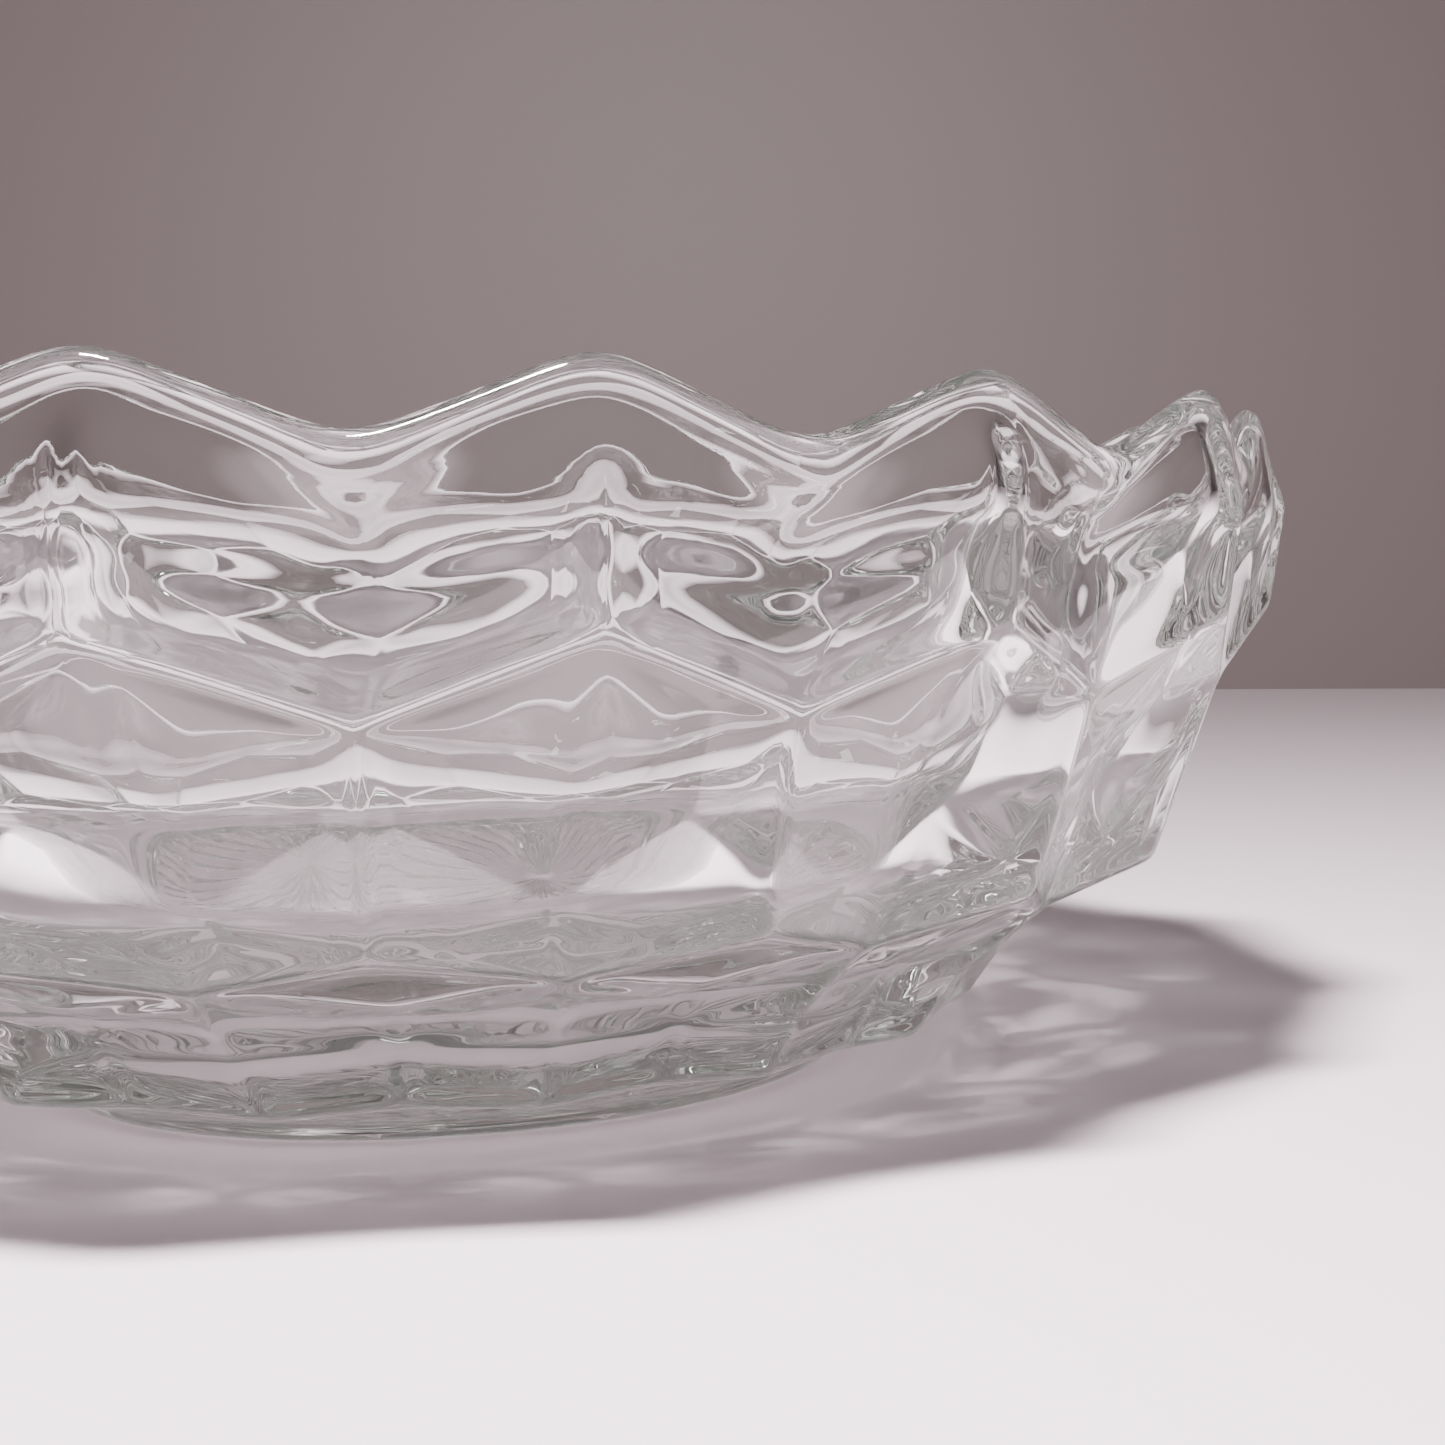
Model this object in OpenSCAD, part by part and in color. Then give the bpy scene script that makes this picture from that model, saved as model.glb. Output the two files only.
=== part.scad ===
// Pressed-glass candy dish: an oval bowl made in one pressing, with a stacked-cube pattern
// outside, a smooth inside, a zigzag rounded lip and a rayed star under the base.
// Millimetres. +Z is up, +X runs along the length. The origin is the middle of the rest face.
// Radii are measured along the length; every ring is the same oval, `oval` times as wide.

/* [Overall] */
// Length of the mouth from lip crown to lip crown, along the long axis
mouth_l = 170; // [120:1:260]
// Width of every ring over its length
oval = 0.8; // [0.6:0.01:1]
// Height of the highest lip peaks above the rest face
dish_h = 63.5; // [40:0.5:100]

/* [Lip] */
// Half the thickness of the rim
lip_r = 2; // [1.5:0.1:4]
// Height of the lip's round over its middle
lip_rise = 3.2; // [1.5:0.1:5]
// How far the lip drops from a peak to a valley
lip_drop = 5.6; // [0:0.2:12]

/* [Cube pattern] */
// Columns of cubes round the dish: a lip peak stands over each
columns = 14; // [8:2:24]
// Width of the pressed ridge where four facets meet
ridge_w = 1.2; // [0.4:0.1:3]
// How far the top cube corners stand out past the lip
corner_out = 4.3; // [2:0.1:8]

/* [Base] */
// Outer radius of the foot ring at the rest face
foot_r = 40; // [25:0.5:60]
// Width of the flat ring that the dish rests on
rest_w = 4; // [2:0.5:10]
// Height of the round foot ring
foot_h = 2.2; // [1:0.1:6]
// How far the cut band stands out past the foot ring
band_out = 14; // [2:0.5:20]
// How far the star panel is set up from the rest face
recess = 1.6; // [0.5:0.1:4]
// Depth of the star's rays
ray_d = 1.2; // [0.3:0.1:2]
// Thickness of the floor over the star panel
floor_t = 6; // [3:0.5:12]

/* [Hidden] */
glass = [0.86, 0.9, 0.88, 0.45];

steps = 3;                        // stations between a peak column and the next valley column
stations = 2 * columns * steps;   // even, so the star's rays and ribs alternate
lip_a = mouth_l / 2;
lip_z = dish_h - lip_rise;        // middle of the lip's round at a peak
arc_even = 90 / PI * (1 - oval) / (1 + oval);   // degrees, sets the columns evenly along the oval

// Cube corners as [radius, height]. Row 1 is the top row. On a peak column an odd row has its
// top corner; on a valley column an even row has its top corner, half a column along.
z1_peak   = [lip_a + corner_out, dish_h - 9.5];
z1_valley = [lip_a - 2.7, dish_h - 13.5];
z2_top    = [lip_a + corner_out - 1.7, dish_h - 19.7];
z2_side   = [lip_a - 2.6, dish_h - 26];
z2_low    = [lip_a - 10.6, dish_h - 31.5];
z3_top    = [lip_a - 9.3, 20.4];
z3_side   = [lip_a - 17, 17.3];
z3_low    = [lip_a - 24.6, 14.3];
z4_top    = [lip_a - 24.2, 12.3];
z4_side   = [lip_a - 28, 11.4];
z4_low    = [lip_a - 27.2, 9.8];
band_peak   = [foot_r + band_out, 5.1];       // lower edge of the upright band over the foot ring
band_valley = [foot_r + band_out - 1, 5.7];

// Inside wall as [radius, height]. Under the lip it follows the outside at one wall thickness
// and fades out of the lobes, as [on a peak column, on a valley column]; from there it is smooth
rim_t = 2.2 * lip_r;
lobed = [[[lip_a - 0.7, dish_h - 6.4], [lip_a - 4.6, dish_h - 10]],
         [z1_peak - [rim_t - 0.7, 0.7], z1_valley - [rim_t - 0.1, -0.8]],
         [[lip_a - 2.4, dish_h - 14.6], [lip_a - 8.7, dish_h - 17]],
         [[lip_a - 5.6, dish_h - 19.5], [lip_a - 10, dish_h - 21]],
         [[lip_a - 9.4, dish_h - 25], [lip_a - 11.5, dish_h - 25]]];
inside = [[lip_a - 14, 31.5], [lip_a - 20.5, 23.5], [lip_a - 31, 16.5],
          [lip_a - 44, recess + floor_t + 3.2], [lip_a - 62, recess + floor_t + 0.8]];

// A ring is [point on a peak column, point on a valley column, straight between them or not]
function ring(peak, valley, straight = false) = [peak, valley, straight];
function up(p, d) = [p.x + d / 2, p.y + d * 0.75];
function lip_at(c, a) = [c.x + lip_r * cos(a), c.y + lip_rise * sin(a)];

lip_peak   = [lip_a, lip_z];
lip_valley = [lip_a - 1.3, lip_z - lip_drop];

rings = concat(
    [
        ring([foot_r - rest_w, 0], [foot_r - rest_w, 0]),
        ring([foot_r - 0.8, 0], [foot_r - 0.8, 0]),
        ring([foot_r, 0.8], [foot_r, 0.8]),
        ring([foot_r + 1, foot_h], [foot_r + 1, foot_h]),
        ring(band_peak, band_valley, true),
        ring(z4_low, up(z4_side, -ridge_w), true),
        ring(z4_top, up(z4_side, ridge_w), true),
        ring(up(z3_side, -ridge_w), z3_low, true),
        ring(up(z3_side, ridge_w), z3_top, true),
        ring(z2_low, up(z2_side, -ridge_w), true),
        ring(z2_top, up(z2_side, ridge_w), true),
        ring(z1_peak, z1_valley, true)
    ],
    [for (a = [0 : 30 : 180]) ring(lip_at(lip_peak, a + 18), lip_at(lip_valley, a - 5))],
    [for (p = lobed) ring(p[0], p[1])],
    [for (p = inside) ring(p, p)]
);

// Angle of a station round the oval, 0 at the middle of a long side
function turn(j) = let(u = 360 * j / stations) u - arc_even * sin(2 * u);
function place(j, p) = [p.x * sin(turn(j)), -oval * p.x * cos(turn(j)), p.y];

// 1 on a peak column, 0 on a valley column
function peakness(j) = abs(j % (2 * steps) - steps) / steps;
function falls(j) = j % (2 * steps) < steps;   // true from a peak column to the next valley column
function soft(w) = (w + (1 - cos(180 * w)) / 2) / 2;
function on_column(j, r) = place(j, peakness(j) > 0.5 ? r[0] : r[1]);

function ring_point(j, r) =
    r[2]
    ? let(a = floor(j / steps) * steps, s = (j - a) / steps)
      on_column(a, r) * (1 - s) + on_column(a + steps, r) * s
    : place(j, r[1] + (r[0] - r[1]) * soft(peakness(j)));

// Star under the base, as [radius, height of a groove, height of a rib] over the star panel
star = [[3, ray_d / 2, ray_d / 2], [foot_r * 0.4, ray_d, 0], [foot_r - rest_w - 3, ray_d * 0.2, 0]];

// The whole skin: star, foot, facets, lip and inside, then one point at each end
module dish() {
    skin = concat(
        [for (s = star) [for (j = [0 : stations - 1])
            place(j, [s[0], recess + (j % 2 == 0 ? s[1] : s[2])])]],
        [[for (j = [0 : stations - 1]) place(j, [foot_r - rest_w - 1, recess])]],
        [for (r = rings) [for (j = [0 : stations - 1]) ring_point(j, r)]]
    );
    n = len(skin);
    points = concat([for (s = skin) each s], [[0, 0, recess + ray_d / 2], [0, 0, recess + floor_t]]);
    under = n * stations;
    color(glass)
    polyhedron(points, concat(
        [for (j = [0 : stations - 1]) [under, j, (j + 1) % stations]],
        [for (i = [0 : n - 2], j = [0 : stations - 1]) let(
            a = i * stations + j, b = i * stations + (j + 1) % stations,
            c = b + stations, d = a + stations)
            each falls(j) ? [[a, d, b], [b, d, c]] : [[a, c, b], [a, d, c]]],
        [for (j = [0 : stations - 1]) let(a = (n - 1) * stations)
            [under + 1, a + (j + 1) % stations, a + j]]
    ));
}

dish();
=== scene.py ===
"""Looks for the pressed-glass candy dish: one glass mesh that stands for the CAD node `dish`.

The skin is a grid that runs round the oval (stations) and along the section (rows): from the
star under the base, out over the foot, up the stacked-cube facets, over the lip and down the
smooth inside. Metres, +Z up, +X along the length, origin in the middle of the rest face.
"""

import math

import bpy
import numpy as np
from mathutils import Matrix, Vector


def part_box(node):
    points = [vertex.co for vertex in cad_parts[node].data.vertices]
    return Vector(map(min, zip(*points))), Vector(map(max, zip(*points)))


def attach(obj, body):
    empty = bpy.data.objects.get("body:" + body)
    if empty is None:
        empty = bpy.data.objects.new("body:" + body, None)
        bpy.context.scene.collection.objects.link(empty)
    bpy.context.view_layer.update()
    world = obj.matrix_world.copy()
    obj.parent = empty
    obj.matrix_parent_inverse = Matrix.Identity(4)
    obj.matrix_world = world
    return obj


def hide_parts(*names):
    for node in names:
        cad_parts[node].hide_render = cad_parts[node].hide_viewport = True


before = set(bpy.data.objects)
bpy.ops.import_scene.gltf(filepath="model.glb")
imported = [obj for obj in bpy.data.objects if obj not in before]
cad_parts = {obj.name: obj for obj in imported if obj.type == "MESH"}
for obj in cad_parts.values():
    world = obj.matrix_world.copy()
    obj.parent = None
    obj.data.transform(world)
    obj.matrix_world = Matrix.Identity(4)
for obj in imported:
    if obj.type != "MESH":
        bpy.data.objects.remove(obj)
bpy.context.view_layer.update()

MM = 0.001
UP = Vector((0, 0, 1))

# ---------------------------------------------------------------- sizes of the dish
box_lo, box_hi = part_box("dish")
DISH_H = box_hi[2] - box_lo[2]
COLUMNS = 14                                 # columns of cubes; a lip peak stands over each
OVAL = 0.8                                   # width of every ring over its length
EVEN = 0.5 * (1 - OVAL) / (1 + OVAL)         # sets the columns evenly along the oval
CORNER_OUT = 4.3 * MM                        # how far the top cube corners stand out past the lip


def lip_radius():
    """Radius of the lip's crown along the length: the box ends at the last cube corner."""
    turn = 2 * math.pi * (COLUMNS // 4) / COLUMNS
    turn -= EVEN * math.sin(2 * turn)
    return (box_hi[0] - box_lo[0]) / 2 / math.sin(turn) - CORNER_OUT


LIP_A = lip_radius()
LIP_R = 2.0 * MM                             # half the rim's thickness
LIP_RISE = 3.2 * MM                          # height of the lip's round over its middle
LIP_DROP = 5.6 * MM                          # from a lip peak to a lip valley
LIP_IN = 1.3 * MM                            # how far a valley lies inside the peaks
LIP_SPARE = 0.55 * MM                        # what the rounding of the zigzag takes off its peaks
LIP_TURN = 18, -5                            # degrees the round is turned: peak, valley
LIP_STEP = 10                                # degrees from one row of the round to the next

FOOT_R = 40 * MM
FOOT_H = 2.2 * MM
FOOT_EDGE = 0.8 * MM                         # bevel at the rest face
REST_W = 4.0 * MM                            # width of the ring that the dish rests on
BAND_OUT = 14 * MM                           # how far the cut band stands out past the foot ring
RECESS = 1.6 * MM                            # how far the star panel is set up
STAR_R = FOOT_R - REST_W - 1 * MM
RAY_D = 1.2 * MM
FLOOR_Z = RECESS + 6.0 * MM                  # top of the floor inside the dish

# Cube corners as (radius, height), from the top row down. Z1 and BAND: on a peak column, then on
# a valley column. In the other rows a top and a low corner stand over each other on one column,
# and the side corners on the next.
Z1 = (LIP_A + CORNER_OUT, DISH_H - 9.5 * MM), (LIP_A - 2.7 * MM, DISH_H - 13.5 * MM)
Z2_TOP = (LIP_A + 2.6 * MM, DISH_H - 19.7 * MM)
Z2_SIDE = (LIP_A - 2.6 * MM, DISH_H - 26 * MM)
Z2_LOW = (LIP_A - 10.6 * MM, DISH_H - 31.5 * MM)
Z3_TOP = (LIP_A - 9.3 * MM, 20.4 * MM)
Z3_SIDE = (LIP_A - 17 * MM, 17.3 * MM)
Z3_LOW = (LIP_A - 24.6 * MM, 14.3 * MM)
Z4_TOP = (LIP_A - 24.2 * MM, 12.3 * MM)
Z4_SIDE = (LIP_A - 28 * MM, 11.4 * MM)
Z4_LOW = (LIP_A - 27.2 * MM, 9.8 * MM)
BAND = (FOOT_R + BAND_OUT, 5.1 * MM), (FOOT_R + BAND_OUT - 1 * MM, 5.7 * MM)

# Inside wall. Near the lip it follows the outside, one wall thickness in, and then fades out of
# the lobes: each entry is (peak point, valley point)
RIM_T = 4.4 * MM
RIM_EVEN = 0.85 * MM                         # the wall is this much thinner between two columns
INSIDE_WAVY = [
    ((LIP_A - 0.7 * MM, DISH_H - 6.4 * MM), (LIP_A - 4.6 * MM, DISH_H - 10.0 * MM)),
    (
        (Z1[0][0] - RIM_T + 0.7 * MM, Z1[0][1] - 0.7 * MM),
        (Z1[1][0] - RIM_T + 0.1 * MM, Z1[1][1] + 0.8 * MM),
    ),
    ((LIP_A - 2.4 * MM, DISH_H - 14.6 * MM), (LIP_A - 8.7 * MM, DISH_H - 17.0 * MM)),
    ((LIP_A - 5.6 * MM, DISH_H - 19.5 * MM), (LIP_A - 10.0 * MM, DISH_H - 21.0 * MM)),
    ((LIP_A - 9.4 * MM, DISH_H - 25.0 * MM), (LIP_A - 11.5 * MM, DISH_H - 25.0 * MM)),
]
# From there it is smooth, down to the middle of the floor
INSIDE_SMOOTH = [
    (LIP_A - 14.0 * MM, 31.5 * MM),
    (LIP_A - 20.5 * MM, 23.5 * MM),
    (LIP_A - 31 * MM, 16.5 * MM),
    (LIP_A - 44 * MM, FLOOR_Z + 3.2 * MM),
    (LIP_A - 62 * MM, FLOOR_Z + 0.8 * MM),
    (3 * MM, FLOOR_Z),
]

# ---------------------------------------------------------------- look of the pressing
RIDGE_SOFT = 0.70 * MM                       # how far the facets' edges are rounded
LIP_SOFT = 2.2 * MM                          # how far the lip's zigzag is rounded
LIP_BLEND = 4 * MM                           # over what length one rounding goes over into the other
LIP_EDGE = 1 * MM                            # where it starts, from the corner row beside it
BEAD_H = 0.30 * MM                           # how far a ridge stands proud of its facets
BEAD_W = 1.3 * MM
DISH_D = 0.08 * MM                           # how far a facet is dished in the middle
DISH_REACH = 5 * MM                          # the distance from a ridge where it is fully dished
CHORD_SAG = 0.0062                           # sag of the oval over half a column, over its radius
FLAT_FADE = 12 * MM                          # over what length the chords go over into the oval
EVEN_OUT = 2 * MM                            # over what length the outward direction is evened out

# ---------------------------------------------------------------- fineness
HALF_STEPS = 28                              # stations from a peak column to a valley column
STATIONS = 2 * COLUMNS * HALF_STEPS
FIELD_U, FIELD_V = 96, 2400                  # the fine raster that the facets are rounded on
FOOT_FINE, FINE, COARSE = 0.5 * MM, 0.55 * MM, 1.6 * MM    # between rows: foot, facets, inside
NUDGE = 1e-9                                 # keeps corners that meet in order along the section


# ---------------------------------------------------------------- the section's corner rows
def lip_arc(centre, degrees):
    a = math.radians(degrees)
    return centre[0] + LIP_R * math.cos(a), centre[1] + LIP_RISE * math.sin(a)


def section_rows():
    """The corner rows as (peak point, valley point, kind), from the foot to the floor inside."""
    foot = [
        (STAR_R, RECESS),
        (FOOT_R - REST_W, 0.0),
        (FOOT_R - FOOT_EDGE, 0.0),
        (FOOT_R, FOOT_EDGE),
        (FOOT_R + 1 * MM, FOOT_H),
    ]
    creases = [
        (Z4_LOW, Z4_SIDE),
        (Z4_TOP, Z4_SIDE),
        (Z3_SIDE, Z3_LOW),
        (Z3_SIDE, Z3_TOP),
        (Z2_LOW, Z2_SIDE),
        (Z2_TOP, Z2_SIDE),
        Z1,
    ]
    peak = (LIP_A, DISH_H - LIP_RISE + LIP_SPARE)
    valley = (LIP_A - LIP_IN, DISH_H - LIP_RISE - LIP_DROP - LIP_SPARE)
    rows = [(p, p, "foot") for p in foot]
    rows.append((*BAND, "foot"))
    rows += [(*pair, "crease") for pair in creases]
    for a in range(0, 181, LIP_STEP):
        rows.append((lip_arc(peak, a + LIP_TURN[0]), lip_arc(valley, a + LIP_TURN[1]), "round"))
    rows += [(*pair, "wavy") for pair in INSIDE_WAVY]
    rows += [(p, p, "smooth") for p in INSIDE_SMOOTH]
    return rows


ROWS = section_rows()
PEAK = np.array([row[0] for row in ROWS])
VALLEY = np.array([row[1] for row in ROWS])
KINDS = [row[2] for row in ROWS]
FIRST = KINDS.index("crease")                # the lowest zigzag crease; the band's edge is under it
LAST = KINDS.index("round") - 1              # the highest zigzag crease
WAVY = KINDS.index("wavy")
SMOOTH = KINDS.index("smooth")


def corner_places():
    """Where the corner rows lie along the section: on a peak column and on a valley column.

    The length is that of the mean section; a crease's corners slide along it to where they lie.
    """
    mean = (PEAK + VALLEY) / 2
    v_mean = np.concatenate([[0], np.cumsum(np.hypot(*np.diff(mean, axis=0).T))])
    along = np.gradient(mean, v_mean, axis=0)
    along /= np.hypot(*along.T)[:, None]
    slide = np.sum((PEAK - VALLEY) * along, axis=1) / 2
    slide[:FIRST] = 0
    slide[LAST + 1:] = 0
    return v_mean + slide, v_mean - slide


V_PEAK, V_VALLEY = corner_places()

# The raster: U runs from a peak column to a valley column, V along the section in metres
U = np.linspace(0, 1, FIELD_U + 1)
V = np.linspace(0, V_PEAK[-1], FIELD_V + 1)
HALF_COLUMN = math.pi * LIP_A * (1 + OVAL) / (2 * COLUMNS)
DU = HALF_COLUMN / FIELD_U
DV = V[1]


# ---------------------------------------------------------------- the pressed surface
def fade(x, start, end):
    """0 at start and before, 1 at end and beyond, straight between."""
    return np.clip((x - start) / (end - start), 0, 1)


def blur_axis(field, sigma, axis):
    """Gaussian blur along one axis; axis 0 mirrors at both ends, axis 1 holds its end values."""
    reach = max(1, int(math.ceil(sigma * 3)))
    kernel = np.exp(-0.5 * (np.arange(-reach, reach + 1) / sigma) ** 2)
    kernel /= kernel.sum()
    mode = "reflect" if axis == 0 else "edge"
    pad = [(0, 0), (0, 0)]
    pad[axis] = (reach, reach)
    wide = np.pad(field, pad, mode=mode)
    return np.apply_along_axis(lambda line: np.convolve(line, kernel, mode="valid"), axis, wide)


def blur(field, width):
    return blur_axis(blur_axis(field, width / DV, 1), width / DU, 0)


def plain_fields():
    """The section with sharp edges, over the raster.

    Returns radius, height, distance to the nearest zigzag crease, whether a point lies on the
    side faces of a cube, and whether it lies past the highest crease.
    """
    shape = len(U), len(V)
    r, z, near = np.empty(shape), np.empty(shape), np.empty(shape)
    side, past = np.zeros(shape, dtype=bool), np.zeros(shape, dtype=bool)
    for i, w in enumerate(U):
        place = V_PEAK + (V_VALLEY - V_PEAK) * w
        corner = PEAK + (VALLEY - PEAK) * w
        corner[WAVY + 1, 0] += RIM_EVEN * 4 * w * (1 - w)
        for k in range(FIRST - 1, LAST, 2):
            side[i] |= (V >= place[k]) & (V <= place[k + 1])
        past[i] = V > place[LAST]
        place = np.maximum.accumulate(place + np.arange(len(place)) * NUDGE)
        r[i] = np.interp(V, place, corner[:, 0])
        z[i] = np.interp(V, place, corner[:, 1])
        near[i] = np.abs(V[:, None] - place[FIRST - 1:LAST + 1]).min(axis=1)
    return r, z, near, side, past


def outward(r, z):
    """The section's outward direction, evened out so that edges don't make it jump."""
    along_r = np.gradient(blur(r, EVEN_OUT), axis=1)
    along_z = np.gradient(blur(z, EVEN_OUT), axis=1)
    size = np.hypot(along_r, along_z)
    return along_z / size, -along_r / size


def pressed_fields():
    """Radius and height over the raster, with ridges, dished facets and rounded edges."""
    r, z, near, side, past = plain_fields()
    # upright ridges stand only between the two side faces of a cube
    across = U[:, None] * HALF_COLUMN
    near = np.where(side, np.minimum(near, np.minimum(across, HALF_COLUMN - across)), near)
    # nothing under the band has relief
    on_band = fade(V, V_PEAK[FIRST - 2], V_PEAK[FIRST - 1])
    bead = BEAD_H * np.exp(-((near / BEAD_W) ** 2))
    dished = np.where(past, 0, DISH_D * fade(near, 0, DISH_REACH) ** 1.5)
    lift = (bead - dished) * on_band
    # facets are flat between columns: the wall runs along the chord there, not along the oval
    v_flat = V_PEAK[SMOOTH - 1]
    flat = on_band * fade(V, v_flat, v_flat - FLAT_FADE)
    sag = CHORD_SAG * r * (4 * U * (1 - U))[:, None] * flat
    out_r, out_z = outward(r, z)
    fine_r = blur(r + lift * out_r - sag, RIDGE_SOFT)
    fine_z = blur(z + lift * out_z, RIDGE_SOFT)
    # past the facets the zigzag is rounded further, but for the edge between the lip and the inside
    from_facets = V - V_PEAK[LAST] + LIP_EDGE
    from_inside = np.abs(V - V_PEAK[WAVY] - LIP_EDGE)
    w = fade(np.minimum(from_facets, from_inside), 0, LIP_BLEND)
    w = w * w * (3 - 2 * w)
    soft_r = blur_axis(fine_r, LIP_SOFT / DU, 0)
    soft_z = blur_axis(fine_z, LIP_SOFT / DU, 0)
    return fine_r * (1 - w) + soft_r * w, fine_z * (1 - w) + soft_z * w


def sample(field, w, along):
    """A raster field between its points. w has a value per station, along one per mesh point."""
    su = w * FIELD_U
    sv = np.clip(along / DV, 0, FIELD_V - 1e-6)
    i = np.minimum(su.astype(int), FIELD_U - 1)
    j = sv.astype(int)
    fu, fv = su - i, sv - j
    here = field[i, j] * (1 - fv) + field[i, j + 1] * fv
    beside = field[i + 1, j] * (1 - fv) + field[i + 1, j + 1] * fv
    return here * (1 - fu) + beside * fu


def rows_after(k):
    """How many mesh rows there are from corner row k to the next one."""
    if KINDS[k] == KINDS[k + 1] == "round":
        return 1
    length = (V_PEAK[k + 1] - V_PEAK[k] + V_VALLEY[k + 1] - V_VALLEY[k]) / 2
    if k < FIRST:
        least, spacing = 2, FOOT_FINE
    elif k <= LAST:
        least, spacing = 4, FINE
    else:
        least, spacing = 3, FINE if k < SMOOTH else COARSE
    return max(least, int(round(length / spacing)))


def skin_rows():
    """Radius and height of every mesh point from the foot over the lip to the floor inside."""
    r, z = pressed_fields()
    phase = np.arange(STATIONS) % (2 * HALF_STEPS)
    w = 1 - np.abs(phase - HALF_STEPS) / HALF_STEPS
    counts = [rows_after(k) for k in range(len(KINDS) - 1)]
    steps = [k + s / n for k, n in enumerate(counts) for s in range(n)] + [len(counts)]
    corners = np.arange(len(KINDS))
    at_peak = np.interp(steps, corners, V_PEAK)[:, None]
    at_valley = np.interp(steps, corners, V_VALLEY)[:, None]
    along = at_peak * (1 - w) + at_valley * w
    return sample(r, w, along), sample(z, w, along)


def zigzag(x):
    """0 at every whole number and 1 halfway between two of them."""
    return 1 - np.abs(2 * (x % 1.0) - 1)


def star_rows():
    """Radius and height of the rayed star under the base, from its middle to the recess wall.

    Two long rays to a column start near the middle; short ones, twice as many, join them further out.
    """
    turn = np.arange(STATIONS) / STATIONS * 2 * COLUMNS
    # s and the fades are shares of the panel's radius; the factors are shares of RAY_D
    hub = np.linspace(1.2 * MM, 8 * MM, 8)
    field = np.linspace(9.5 * MM, STAR_R - 1 * MM, 20)
    radii = np.concatenate([hub, field])[:, None]
    s = radii / STAR_R
    middle = 0.5 * fade(s, 0.25, 0)
    long_rays = 0.95 * fade(s, 0, 0.2) * fade(s, 0.93, 0.58) * zigzag(turn) ** 1.3
    short_rays = 0.45 * fade(s, 0.42, 0.62) * fade(s, 0.97, 0.77) * zigzag(2 * turn)
    return np.repeat(radii, STATIONS, axis=1), RECESS + RAY_D * (middle + long_rays + short_rays)


# ---------------------------------------------------------------- the mesh
def link(name, data):
    obj = bpy.data.objects.new(name, data)
    bpy.context.scene.collection.objects.link(obj)
    return obj


def add_dish():
    """The whole skin as one closed grid, with a fan of triangles at each end."""
    star_r, star_z = star_rows()
    skin_r, skin_z = skin_rows()
    r = np.vstack([star_r, skin_r])
    z = np.maximum(np.vstack([star_z, skin_z]), 0.0)
    turn = np.arange(STATIONS) / STATIONS * 2 * math.pi
    turn -= EVEN * np.sin(2 * turn)
    grid = np.stack([r * np.sin(turn), -OVAL * r * np.cos(turn), z], axis=2)
    ends = [[0, 0, z[0].mean()], [0, 0, z[-1].mean()]]
    points = np.vstack([grid.reshape(-1, 3), ends])

    index = np.arange(r.size).reshape(r.shape)
    beside = np.roll(index, -1, axis=1)
    quads = np.stack([index[:-1], beside[:-1], beside[1:], index[1:]], axis=2).reshape(-1, 4)
    under, over = np.full(STATIONS, r.size), np.full(STATIONS, r.size + 1)
    low = np.stack([under, beside[0], index[0]], axis=1)
    top = np.stack([over, index[-1], beside[-1]], axis=1)

    mesh = bpy.data.meshes.new("dish_glass")
    mesh.from_pydata(points.tolist(), [], quads.tolist() + low.tolist() + top.tolist())
    mesh.validate()
    mesh.shade_smooth()
    return link("dish_glass", mesh)


# ---------------------------------------------------------------- materials
GLASS_IOR = 1.51
GLASS_TINT = (0.80, 0.87, 0.82, 1)           # faint green of old soda-lime glass
GLASS_DENSITY = 9.0
RIPPLE_SCALE, RIPPLE_H, RIPPLE_STRENGTH = 110, 0.4 * MM, 0.07
MATTE_ROUGH = 0.55
MOTTLE = 0.96                                # the darkest mottling over the plain colour


def new_material(name):
    """An empty material with a principled surface: the material, its tree, shader and output."""
    mat = bpy.data.materials.new(name)
    mat.use_nodes = True
    tree = mat.node_tree
    tree.nodes.clear()
    out = tree.nodes.new("ShaderNodeOutputMaterial")
    bsdf = tree.nodes.new("ShaderNodeBsdfPrincipled")
    tree.links.new(bsdf.outputs[0], out.inputs["Surface"])
    return mat, tree, bsdf, out


def add_noise(tree, scale, detail):
    """Noise in the object's own space; returns its factor socket."""
    coord = tree.nodes.new("ShaderNodeTexCoord")
    noise = tree.nodes.new("ShaderNodeTexNoise")
    noise.inputs["Scale"].default_value = scale
    noise.inputs["Detail"].default_value = detail
    tree.links.new(coord.outputs["Object"], noise.inputs["Vector"])
    return noise.outputs["Fac"]


def glass_material():
    """Clear glass with a faint tint and the ripple of a pressed and fire-polished surface."""
    mat, tree, bsdf, out = new_material("clear_pressed_glass")
    bsdf.inputs["Base Color"].default_value = (1, 1, 1, 1)
    bsdf.inputs["Roughness"].default_value = 0.0
    bsdf.inputs["IOR"].default_value = GLASS_IOR
    bsdf.inputs["Transmission Weight"].default_value = 1.0
    absorb = tree.nodes.new("ShaderNodeVolumeAbsorption")
    absorb.inputs["Color"].default_value = GLASS_TINT
    absorb.inputs["Density"].default_value = GLASS_DENSITY
    tree.links.new(absorb.outputs[0], out.inputs["Volume"])
    bump = tree.nodes.new("ShaderNodeBump")
    bump.inputs["Strength"].default_value = RIPPLE_STRENGTH
    bump.inputs["Distance"].default_value = RIPPLE_H
    tree.links.new(add_noise(tree, RIPPLE_SCALE, 2.0), bump.inputs["Height"])
    tree.links.new(bump.outputs["Normal"], bsdf.inputs["Normal"])
    return mat


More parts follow.
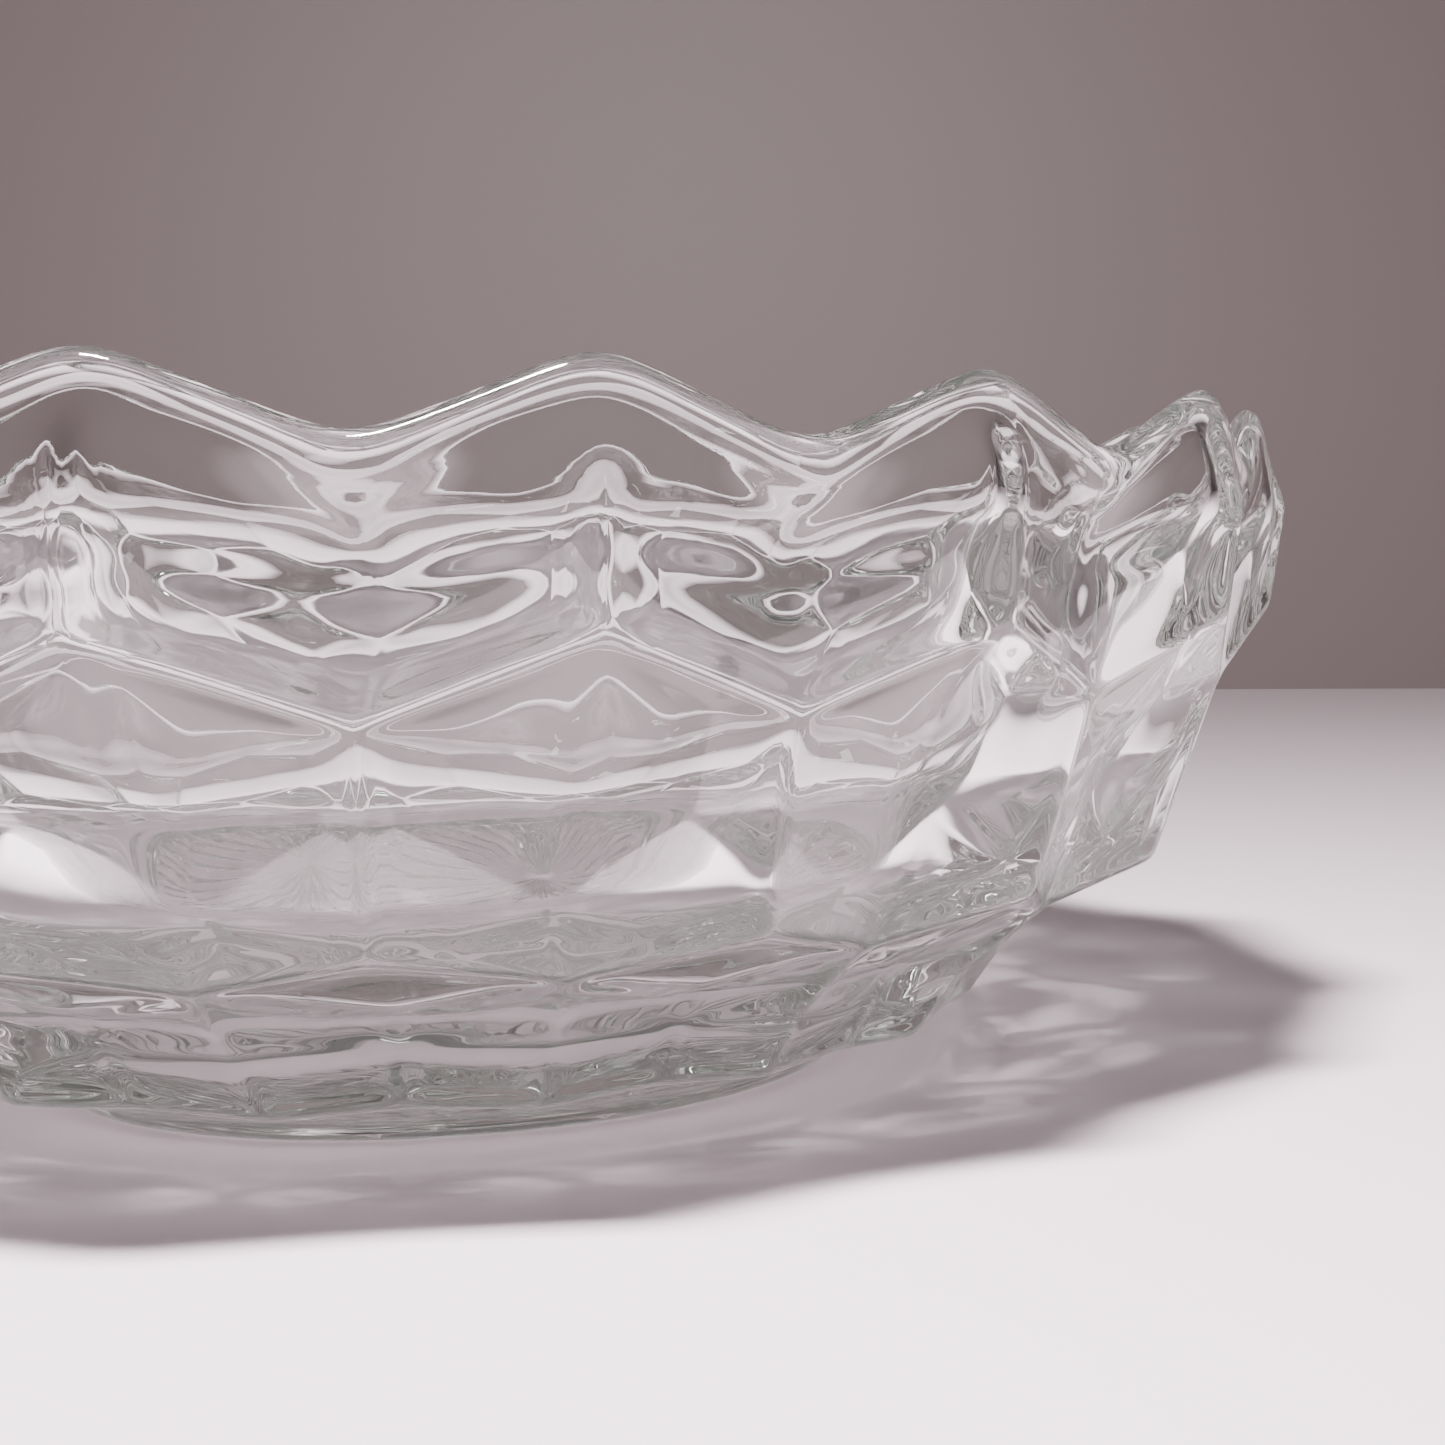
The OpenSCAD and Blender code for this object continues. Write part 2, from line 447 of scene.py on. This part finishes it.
def matte_material(name, colour, scale):
    """A dull surface whose colour wanders down to MOTTLE times itself."""
    mat, tree, bsdf, out = new_material(name)
    bsdf.inputs["Roughness"].default_value = MATTE_ROUGH
    mix = tree.nodes.new("ShaderNodeMix")
    mix.data_type = "RGBA"
    mix.inputs["A"].default_value = (*colour, 1)
    mix.inputs["B"].default_value = (*[c * MOTTLE for c in colour], 1)
    tree.links.new(add_noise(tree, scale, 5.0), mix.inputs["Factor"])
    tree.links.new(mix.outputs["Result"], bsdf.inputs["Base Color"])
    return mat


dish = add_dish()
dish.data.materials.append(glass_material())
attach(dish, "root")
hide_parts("dish")

# ---------------------------------------------------------------- stage
VIEW_AZ = math.radians(-41.7)                # where the viewer stands round the dish
FORWARD = Vector((-math.sin(VIEW_AZ), math.cos(VIEW_AZ), 0))
RIGHT = Vector((math.cos(VIEW_AZ), math.sin(VIEW_AZ), 0))

HALF_STAGE, TABLE_DEPTH = 2.5, 3.5
WALL_H, WALL_SUNK = 0.6, 0.02
TABLE_Z = -0.05 * MM                         # just under the rest face
WALL_MID = RIGHT * (2.25 * LIP_A) + FORWARD * (7.0 * LIP_A)
TABLE_COLOUR, WALL_COLOUR = (0.93, 0.78, 0.84), (0.235, 0.183, 0.186)
ROOM_COLOUR, ROOM_STRENGTH = (0.60, 0.60, 0.58, 1), 0.22


def plane(name, left, right, step, mat):
    """A rectangle on the side from left to right, reaching out by step."""
    mesh = bpy.data.meshes.new(name)
    mesh.from_pydata([tuple(p) for p in (left, right, right + step, left + step)], [], [(0, 1, 2, 3)])
    obj = link(name, mesh)
    obj.data.materials.append(mat)
    return obj


wall_left = WALL_MID - RIGHT * HALF_STAGE
wall_right = WALL_MID + RIGHT * HALF_STAGE
floor = plane(
    "floor", wall_left + UP * TABLE_Z, wall_right + UP * TABLE_Z, -FORWARD * TABLE_DEPTH,
    matte_material("pale_table", TABLE_COLOUR, 6.0),
)
wall = plane(
    "backdrop", wall_left - UP * WALL_SUNK, wall_right - UP * WALL_SUNK, UP * (WALL_H + WALL_SUNK),
    matte_material("taupe_wall", WALL_COLOUR, 3.0),
)

world = bpy.data.worlds.new("room")
bpy.context.scene.world = world
world.use_nodes = True
background = world.node_tree.nodes["Background"]
background.inputs["Color"].default_value = ROOM_COLOUR
background.inputs["Strength"].default_value = ROOM_STRENGTH

# ---------------------------------------------------------------- light
LAMP_PLACE = -FORWARD * 0.145 - RIGHT * 0.01 + UP * 0.34
LAMP_WHITE = (1, 0.985, 0.98)


def add_lamp(name, size, watts):
    """A rectangle of light at LAMP_PLACE that faces the dish; its first side runs along RIGHT."""
    data = bpy.data.lights.new(name, "AREA")
    data.shape = "RECTANGLE"
    data.size, data.size_y = size
    data.energy = watts
    data.color = LAMP_WHITE
    obj = link(name, data)
    back = LAMP_PLACE.normalized()
    across = (RIGHT - back * RIGHT.dot(back)).normalized()
    axes = Matrix((across, back.cross(across), back)).transposed()
    obj.matrix_world = Matrix.Translation(LAMP_PLACE) @ axes.to_4x4()
    return obj


# one lamp in two parts: the first casts a crisp shadow with a bright net of light in it, and the
# light of the second goes all ways through the glass, which lights the table under the star
net_lamp = add_lamp("key_lamp", (0.055, 0.035), 3.5)
net_lamp.data.cycles.is_caustics_light = True
dish.cycles.is_caustics_caster = True
floor.cycles.is_caustics_receiver = True
add_lamp("key_lamp_plain", (0.08, 0.04), 2.6)

# light goes through many walls of glass, and is often reflected inside them, before it leaves
BOUNCES = 40
cycles = bpy.context.scene.cycles
cycles.max_bounces = BOUNCES
cycles.transmission_bounces = BOUNCES
cycles.glossy_bounces = BOUNCES

# ---------------------------------------------------------------- camera
EYE_BACK, EYE_RIGHT, EYE_UP = 2.801 * LIP_A, 0.294 * LIP_A, 0.589 * LIP_A
PITCH, ROLL = 0.073, 0.003                   # radians
LENS, SENSOR = 61.337, 36                    # millimetres


def add_camera():
    data = bpy.data.cameras.new("camera")
    data.sensor_width = SENSOR
    data.lens = LENS
    data.clip_start, data.clip_end = 0.01, 20
    look = (FORWARD * math.cos(PITCH) - UP * math.sin(PITCH)).normalized()
    side = look.cross(UP).normalized()
    roll = Matrix.Rotation(ROLL, 3, look)
    axes = Matrix((roll @ side, roll @ side.cross(look), -look)).transposed()
    obj = link("camera", data)
    eye = -FORWARD * EYE_BACK + RIGHT * EYE_RIGHT + UP * EYE_UP
    obj.matrix_world = Matrix.Translation(eye) @ axes.to_4x4()
    return obj


bpy.context.scene.camera = add_camera()
